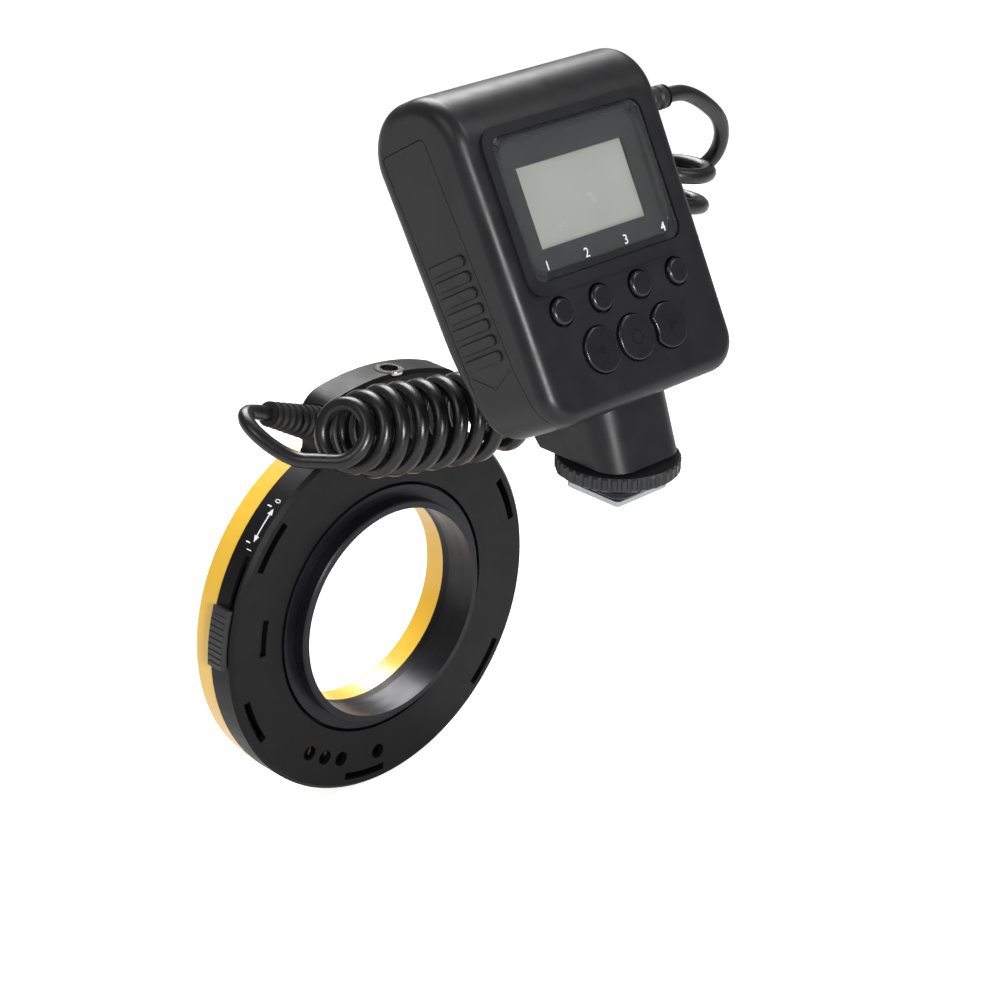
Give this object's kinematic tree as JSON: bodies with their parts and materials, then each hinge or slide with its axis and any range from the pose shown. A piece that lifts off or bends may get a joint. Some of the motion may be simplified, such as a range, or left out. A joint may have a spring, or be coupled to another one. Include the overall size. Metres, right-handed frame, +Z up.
{
  "type": "macro ring light",
  "caption": "Macro ring light with an amber diffuser, a bayonet adapter, a curly lead and a hot-shoe control unit.",
  "frame": {"origin": "centre of the underside of the foot plate", "axes": "+X to the right seen from behind, +Y forward along the lamp head's axis to the subject, +Z up along the foot's stem"},
  "size_m": [0.1327, 0.121, 0.2245],
  "materials": {
    "dark_plastic": "satin, fine grain",
    "soft_rubber": "matt",
    "key_rubber": "matt",
    "nickel": "bright nickel",
    "black_metal": "black anodised",
    "brass": "bright",
    "amber": "clear amber",
    "window": "clear, dark border",
    "lcd": "grey-green display",
    "board": "green board",
    "white_plastic": "white",
    "cell": "printed sleeve"
  },
  "bodies": {
    "housing": {"shoe_foot": "nickel", "threaded_stem": "nickel", "contact_sleeve": "dark_plastic", "foot_screws": "nickel", "neck_rear_shell": "dark_plastic", "neck_front_shell": "dark_plastic", "unit_rear_shell": "dark_plastic", "unit_front_shell": "dark_plastic", "battery_cells": "cell", "battery_tray": "dark_plastic", "battery_contacts": "brass", "window_lens": "window", "lcd_frame": "dark_plastic", "lcd_panel": "lcd", "main_board": "board", "tact_switches": "dark_plastic", "unit_screws": "nickel", "unit_strain_relief": "soft_rubber", "ring_rear_shell": "dark_plastic", "ring_front_shell": "dark_plastic", "adapter_ring": "black_metal", "led_board": "board", "leds": "white_plastic", "reflector": "white_plastic", "ring_screws": "nickel", "thread_insert": "nickel", "ring_strain_relief": "soft_rubber", "relief_ferrule": "white_plastic", "cord_ring_lead": "soft_rubber", "cord_coil": "soft_rubber", "cord_unit_lead": "soft_rubber"},
    "button_1": {"button_1": "key_rubber"},
    "button_2": {"button_2": "key_rubber"},
    "button_3": {"button_3": "key_rubber"},
    "button_4": {"button_4": "key_rubber"},
    "key_set": {"key_set": "key_rubber"},
    "key_left": {"key_left": "key_rubber"},
    "key_right": {"key_right": "key_rubber"},
    "battery_door": {"battery_door": "dark_plastic", "door_contacts": "brass"},
    "clamp_plate": {"clamp_plate": "nickel"},
    "lock_wheel": {"lock_wheel": "black_metal"},
    "contact_pin": {"contact_pin": "brass"},
    "lock_ring": {"lock_ring": "dark_plastic", "lever_grip": "dark_plastic"},
    "amber_diffuser": {"amber_diffuser": "amber"},
    "lock_pawl_1": {"lock_pawl_1": "nickel"},
    "lock_pawl_2": {"lock_pawl_2": "nickel"},
    "lock_pawl_3": {"lock_pawl_3": "nickel"}
  },
  "joints": [
    {"name": "button_1_press", "type": "slide", "parent": "housing", "child": "button_1", "axis": [0, 0.8832, -0.469], "range_m": [0, 0.0008], "stiffness_N_per_m": 400},
    {"name": "button_2_press", "type": "slide", "parent": "housing", "child": "button_2", "axis": [0, 0.8832, -0.469], "range_m": [0, 0.0008], "stiffness_N_per_m": 400},
    {"name": "button_3_press", "type": "slide", "parent": "housing", "child": "button_3", "axis": [0, 0.8832, -0.469], "range_m": [0, 0.0008], "stiffness_N_per_m": 400},
    {"name": "button_4_press", "type": "slide", "parent": "housing", "child": "button_4", "axis": [0, 0.8832, -0.469], "range_m": [0, 0.0008], "stiffness_N_per_m": 400},
    {"name": "key_set_press", "type": "slide", "parent": "housing", "child": "key_set", "axis": [0, 0.8832, -0.469], "range_m": [0, 0.0008], "stiffness_N_per_m": 400},
    {"name": "key_left_press", "type": "slide", "parent": "housing", "child": "key_left", "axis": [0, 0.8832, -0.469], "range_m": [0, 0.0008], "stiffness_N_per_m": 400},
    {"name": "key_right_press", "type": "slide", "parent": "housing", "child": "key_right", "axis": [0, 0.8832, -0.469], "range_m": [0, 0.0008], "stiffness_N_per_m": 400},
    {"name": "door_slide", "type": "slide", "parent": "housing", "child": "battery_door", "axis": [0.0152, -0.5201, -0.854], "range_m": [0, 0.074]},
    {"name": "clamp_lift", "type": "slide", "parent": "housing", "child": "clamp_plate", "axis": [0, 0, 1], "range_m": [0, 0.00075]},
    {"name": "wheel_turn", "type": "hinge", "parent": "clamp_plate", "child": "lock_wheel", "pos_m": [0, 0, 0.0075], "axis": [0, 0, 1], "range_deg": [0, 270]},
    {"name": "contact_press", "type": "slide", "parent": "housing", "child": "contact_pin", "axis": [0, 0, 1], "range_m": [0, 0.0006], "stiffness_N_per_m": 400},
    {"name": "lock_turn", "type": "hinge", "parent": "housing", "child": "lock_ring", "pos_m": [0, 0.0887, -0.0686], "axis": [0, 1, 0], "range_deg": [0, 17.5]},
    {"name": "pawl_1_slide", "type": "slide", "parent": "housing", "child": "lock_pawl_1", "axis": [-0.866, 0, 0.5], "range_m": [0, 0.0014]},
    {"name": "pawl_2_slide", "type": "slide", "parent": "housing", "child": "lock_pawl_2", "axis": [0.866, 0, 0.5], "range_m": [0, 0.0014]},
    {"name": "pawl_3_slide", "type": "slide", "parent": "housing", "child": "lock_pawl_3", "axis": [0, 0, -1], "range_m": [0, 0.0014]},
    {"name": "diffuser_pull", "type": "slide", "parent": "housing", "child": "amber_diffuser", "axis": [0, 1, 0], "range_m": [0, 0.02]}
  ],
  "couplings": [
    {"joint": "wheel_turn", "follows": "clamp_lift", "rad_per_m": 6283.2},
    {"joint": "lock_turn", "follows": "pawl_1_slide", "rad_per_m": 218.17},
    {"joint": "pawl_2_slide", "follows": "pawl_1_slide", "ratio": 1},
    {"joint": "pawl_3_slide", "follows": "pawl_1_slide", "ratio": 1}
  ]
}
